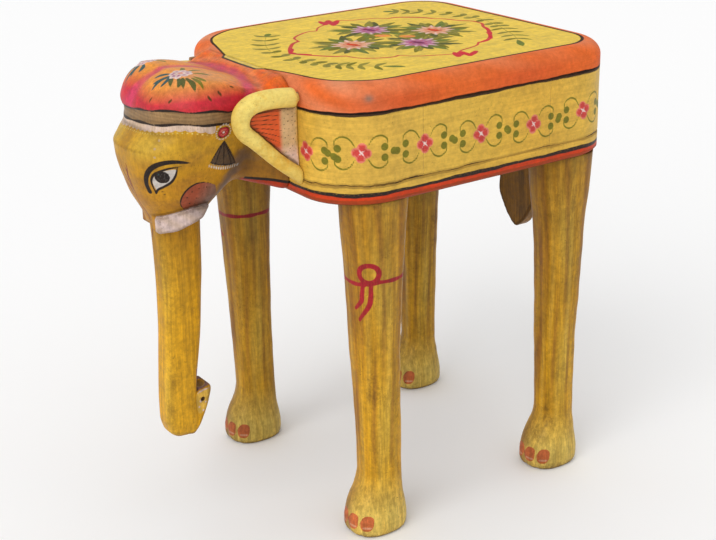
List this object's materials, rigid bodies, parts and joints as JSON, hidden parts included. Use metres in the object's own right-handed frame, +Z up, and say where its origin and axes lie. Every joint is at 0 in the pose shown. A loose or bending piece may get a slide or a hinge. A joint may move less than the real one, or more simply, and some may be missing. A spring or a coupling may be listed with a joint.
{
  "type": "elephant stool",
  "caption": "Carved and painted wooden stool shaped as an elephant, with a box seat on carved legs, head with hanging trunk in front and tail behind.",
  "frame": {"origin": "on the floor under the middle of the whole stool, head and tail included", "axes": "+Z up, -Y is where the head looks, +X is the elephant's left side"},
  "size_m": [0.296, 0.46, 0.442],
  "materials": {
    "painted_seat": "yellow painted panel with orange edge, soft varnish",
    "painted_edge": "worn orange paint",
    "painted_sides": "ochre paint with a flower band, soft varnish",
    "painted_limbs": "rubbed mustard paint over wood grain",
    "painted_head": "rubbed mustard paint with painted face and cap",
    "painted_ears": "pale yellow paint with an orange fan inside",
    "bare_wood": "bare mango wood",
    "iron_nails": "dull iron"
  },
  "bodies": {
    "root": {"seat_board": "painted_seat", "base_board": "painted_edge", "front_rail": "painted_sides", "rear_rail": "painted_sides", "left_rail": "painted_sides", "right_rail": "painted_sides", "front_left_post": "painted_sides", "front_right_post": "painted_sides", "rear_left_post": "painted_sides", "rear_right_post": "painted_sides", "front_left_leg": "painted_limbs", "front_right_leg": "painted_limbs", "rear_left_leg": "painted_limbs", "rear_right_leg": "painted_limbs", "head": "painted_head", "trunk": "painted_limbs", "left_ear": "painted_ears", "right_ear": "painted_ears", "tail": "painted_limbs", "leg_wedges": "bare_wood", "trunk_peg": "bare_wood", "neck_dowels": "bare_wood", "ear_dowels": "bare_wood", "seat_dowels": "bare_wood", "tail_nails": "iron_nails", "base_nails": "iron_nails"}
  },
  "joints": []
}
